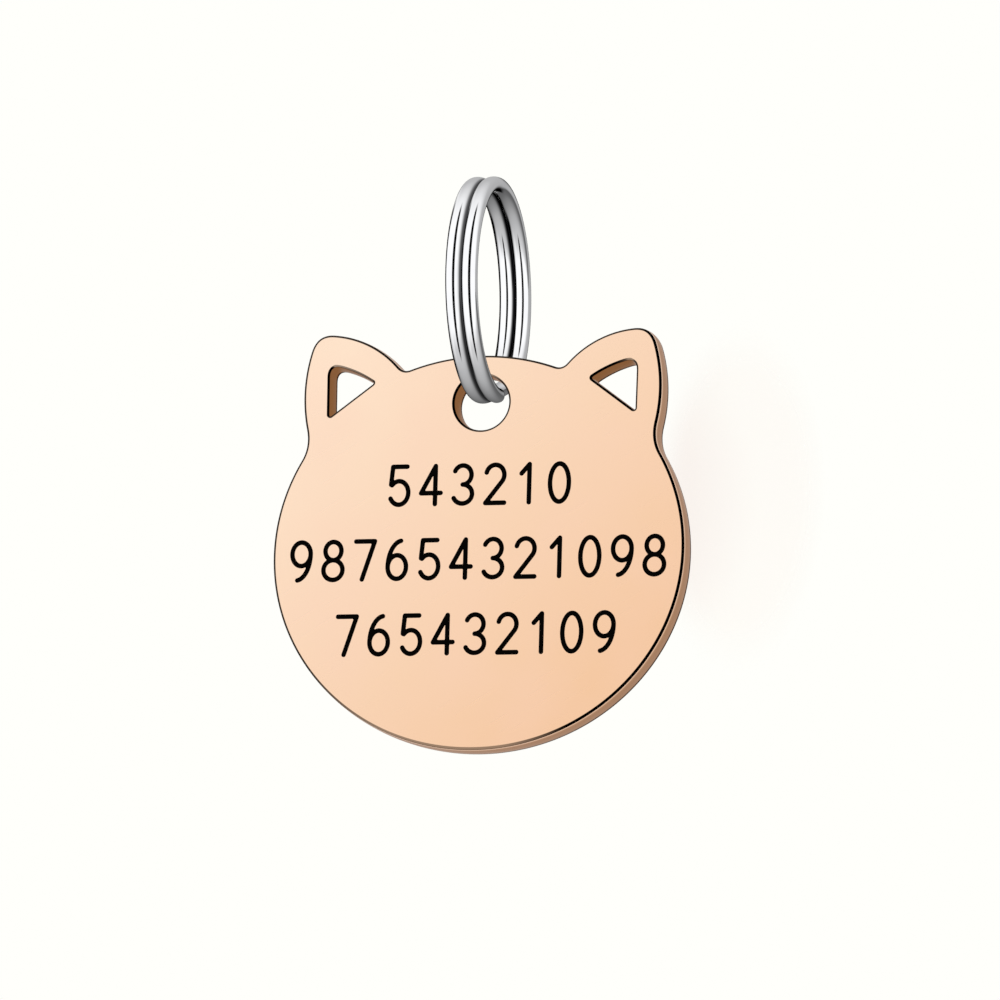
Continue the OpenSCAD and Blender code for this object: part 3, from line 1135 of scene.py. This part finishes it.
# %% World and lamp
WORLD_LIGHT = 0.5
LAMP_AZIMUTH, LAMP_ELEVATION = 12, -16.5
LAMP_DISTANCE, LAMP_SIZE, LAMP_WATTS = 400, 50, 1.52

world = bpy.data.worlds.new("white_room")
bpy.context.scene.world = world
world.use_nodes = True
tree = world.node_tree
tree.nodes.clear()
looked_at = 0.0
for kind in ("Camera", "Glossy", "Transmission"):
    looked_at = add_node(tree, "Math", {
        0: looked_at, 1: add_node(tree, "LightPath", out=f"Is {kind} Ray"),
    }, operation="MAXIMUM")
lights, looks = (
    add_node(tree, "Background", {"Color": colour(code), "Strength": strength})
    for code, strength in (("#ffffff", WORLD_LIGHT), (PAPER, 1.0)))
room = add_node(tree, "MixShader", {0: looked_at, 1: lights, 2: looks})
tree.links.new(room, tree.nodes.new("ShaderNodeOutputWorld").inputs["Surface"])


def level_right(back):
    """Unit vector to the right, and level, for something that looks away from back."""
    right = np.cross([0, 0, 1], back)
    return right / np.linalg.norm(right)


def aim(name, data, right, back, place):
    """Object at a place in millimetres, with its X to the right and its Z back."""
    thing = bpy.data.objects.new(name, data)
    turned = np.c_[right, np.cross(back, right), back, place * MM]
    thing.matrix_world = Matrix(np.vstack([turned, [0, 0, 0, 1]]).tolist())
    bpy.context.scene.collection.objects.link(thing)
    return thing


lamp_data = bpy.data.lights.new("shadow_lamp", "AREA")
lamp_data.shape, lamp_data.size, lamp_data.energy = "SQUARE", LAMP_SIZE * MM, LAMP_WATTS
lamp_data.color = colour("#c8ffff")[:3]
to_lamp = direction(LAMP_AZIMUTH, LAMP_ELEVATION)
lamp = aim("shadow_lamp", lamp_data, level_right(to_lamp), to_lamp,
           head_middle + to_lamp * LAMP_DISTANCE)
lamp.visible_glossy = False
print(f"lamp of {LAMP_WATTS} W, {LAMP_SIZE} mm wide, {LAMP_DISTANCE} mm from the head")

# %% [markdown]
# ## The camera
#
# The photograph was taken with a long lens from a little to the right and from below. Four facts
# fix the camera: its direction, its roll, its distance, and how many pixels a millimetre takes
# at that distance. The lens follows from the last two. The head's middle isn't the picture's
# middle, so the camera is turned by the small angle that puts it where the photograph has it.

# %% Camera
ROLL = 1.56
DISTANCE, PIXELS_PER_MM, PICTURE = 600.0, 15.207, 1000
# The head's middle in the photograph, in pixels from its upper left corner
HEAD_AT = np.array([481.5, 554.6])
SENSOR = 36.0
# The camera sees from one to the other, in metres
NEAREST, FARTHEST = 0.01, 10

level = level_right(TO_CAMERA)
upright = np.cross(TO_CAMERA, level)
r = np.radians(ROLL)
right, up = np.cos(r) * level + np.sin(r) * upright, np.cos(r) * upright - np.sin(r) * level

offset = (PICTURE / 2 - HEAD_AT) / PIXELS_PER_MM
axis_z = TO_CAMERA - (offset[0] * right - offset[1] * up) / DISTANCE
axis_z /= np.linalg.norm(axis_z)
axis_x = right - (right @ axis_z) * axis_z
axis_x /= np.linalg.norm(axis_x)

camera_data = bpy.data.cameras.new("camera")
camera_data.sensor_width = SENSOR
camera_data.lens = SENSOR * PIXELS_PER_MM * DISTANCE / PICTURE
camera_data.clip_start, camera_data.clip_end = NEAREST, FARTHEST
bpy.context.scene.camera = aim(
    "camera", camera_data, axis_x, axis_z, head_middle + DISTANCE * TO_CAMERA)
bpy.context.scene.view_settings.view_transform = "Standard"
print(f"camera {DISTANCE:.0f} mm away with a lens of {camera_data.lens:.1f} mm")
